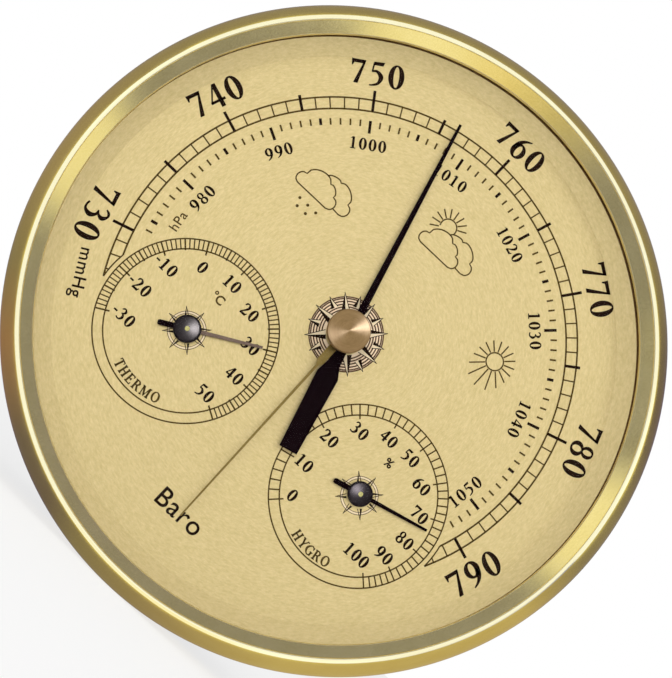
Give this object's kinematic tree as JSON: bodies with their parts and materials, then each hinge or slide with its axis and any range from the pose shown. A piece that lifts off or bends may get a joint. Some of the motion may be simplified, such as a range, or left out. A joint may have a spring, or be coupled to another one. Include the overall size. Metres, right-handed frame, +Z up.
{
  "type": "analog weather station",
  "caption": "Round wall-hung weather station: brass bezel, glass lens and brushed gold dial with air pressure, temperature and humidity hands and a setting knob.",
  "frame": {"origin": "centre of the flat back of the rear case, on the wall", "axes": "+Y into the wall, so the dial faces -Y; +Z up, towards the top of the dial; +X to the right of the dial"},
  "size_m": [0.133, 0.045, 0.133],
  "materials": {
    "bezel_brass": "spun and lacquered brass with a satin inner band",
    "dial_gold": "champagne-gold anodised, brushed in circles",
    "dial_ink": "dark brown-black printing ink",
    "lens_glass": "clear flat glass",
    "case_plastic": "black moulded plastic, fine spark texture",
    "gasket_rubber": "black rubber",
    "hand_black": "black lacquer on sheet metal",
    "knob_brass": "turned brass with circular tool marks",
    "movement_brass": "stamped brass",
    "movement_steel": "bright steel",
    "capsule_nickel": "nickel-plated sheet",
    "washer_nylon": "natural nylon"
  },
  "bodies": {
    "case": {"bezel": "bezel_brass", "bezel_screw_1": "bezel_brass", "bezel_screw_2": "bezel_brass", "bezel_screw_3": "bezel_brass", "lens": "lens_glass", "lens_gasket": "gasket_rubber", "spacer_ring": "dial_gold", "dial_plate": "dial_gold", "rear_case": "case_plastic", "movement_plate": "movement_brass", "movement_screw_1": "movement_steel", "movement_screw_2": "movement_steel", "movement_screw_3": "movement_steel", "movement_screw_4": "movement_steel", "rocker_cock_left": "movement_brass", "rocker_cock_right": "movement_brass", "cock_screw_left": "movement_steel", "cock_screw_right": "movement_steel", "lower_bridge": "movement_brass", "upper_bridge": "movement_brass", "lower_pillar_1": "movement_brass", "lower_pillar_2": "movement_brass", "upper_pillar_1": "movement_brass", "upper_pillar_2": "movement_brass", "bridge_screw_1": "movement_steel", "bridge_screw_2": "movement_steel", "aneroid_capsule": "capsule_nickel", "hairspring": "movement_steel", "hairspring_stud": "movement_brass", "thermo_bracket": "movement_brass", "bimetal_coil": "capsule_nickel", "hygro_bracket": "movement_brass", "humidity_coil": "capsule_nickel"},
    "setting_hand": {"set_knob": "knob_brass", "set_shaft": "movement_steel", "set_hand": "knob_brass", "set_washer": "washer_nylon"},
    "sector": {"sector_gear": "movement_brass", "sector_arbor": "movement_steel"},
    "pointer": {"pressure_pointer": "hand_black", "pointer_arbor": "movement_steel", "pointer_pinion": "movement_brass"},
    "rocker": {"rocker_shaft": "movement_steel", "lift_finger": "movement_brass", "drive_arm": "movement_brass"},
    "stem": {"capsule_stem": "movement_steel"},
    "thermo_needle": {"thermo_hand": "hand_black", "thermo_arbor": "movement_brass"},
    "hygro_needle": {"hygro_hand": "hand_black", "hygro_arbor": "movement_brass"},
    "adjuster": {"adjuster_screw": "movement_brass"}
  },
  "joints": [
    {"name": "set_hand_turn", "type": "hinge", "parent": "case", "child": "setting_hand", "pos_m": [0, 0, 0], "axis": [0, 1, 0], "continuous": true},
    {"name": "sector_swing", "type": "hinge", "parent": "case", "child": "sector", "pos_m": [0, 0, 0.022], "axis": [0, 1, 0], "range_deg": [-14.04, 11.16], "stiffness_Nm_per_rad": 0.01},
    {"name": "pointer_turn", "type": "hinge", "parent": "case", "child": "pointer", "pos_m": [0, 0, 0], "axis": [0, 1, 0], "range_deg": [-112, 141], "deforming": ["hairspring"]},
    {"name": "rocker_swing", "type": "hinge", "parent": "case", "child": "rocker", "pos_m": [0, -0.01925, 0.022], "axis": [-1, 0, 0], "range_deg": [-13.6, 10.9]},
    {"name": "stem_slide", "type": "slide", "parent": "case", "child": "stem", "axis": [0, -1, 0], "range_m": [-0.00076, 0.00061], "deforming": ["aneroid_capsule"]},
    {"name": "thermo_turn", "type": "hinge", "parent": "case", "child": "thermo_needle", "pos_m": [-0.0232, 0, -0.0212], "axis": [0, 1, 0], "range_deg": [-180, 60], "stiffness_Nm_per_rad": 0.0002, "deforming": ["bimetal_coil"]},
    {"name": "hygro_turn", "type": "hinge", "parent": "case", "child": "hygro_needle", "pos_m": [0.0241, 0, -0.0212], "axis": [0, 1, 0], "range_deg": [-210.5, 59], "stiffness_Nm_per_rad": 0.0002, "deforming": ["humidity_coil"]},
    {"name": "adjuster_turn", "type": "hinge", "parent": "case", "child": "adjuster", "pos_m": [0, 0, 0.0188], "axis": [0, 1, 0], "range_deg": [-180, 180]}
  ],
  "couplings": [
    {"joint": "pointer_turn", "follows": "sector_swing", "ratio": -10},
    {"joint": "rocker_swing", "follows": "sector_swing", "ratio": 0.952},
    {"joint": "stem_slide", "follows": "sector_swing", "m_per_rad": 0.003046}
  ]
}
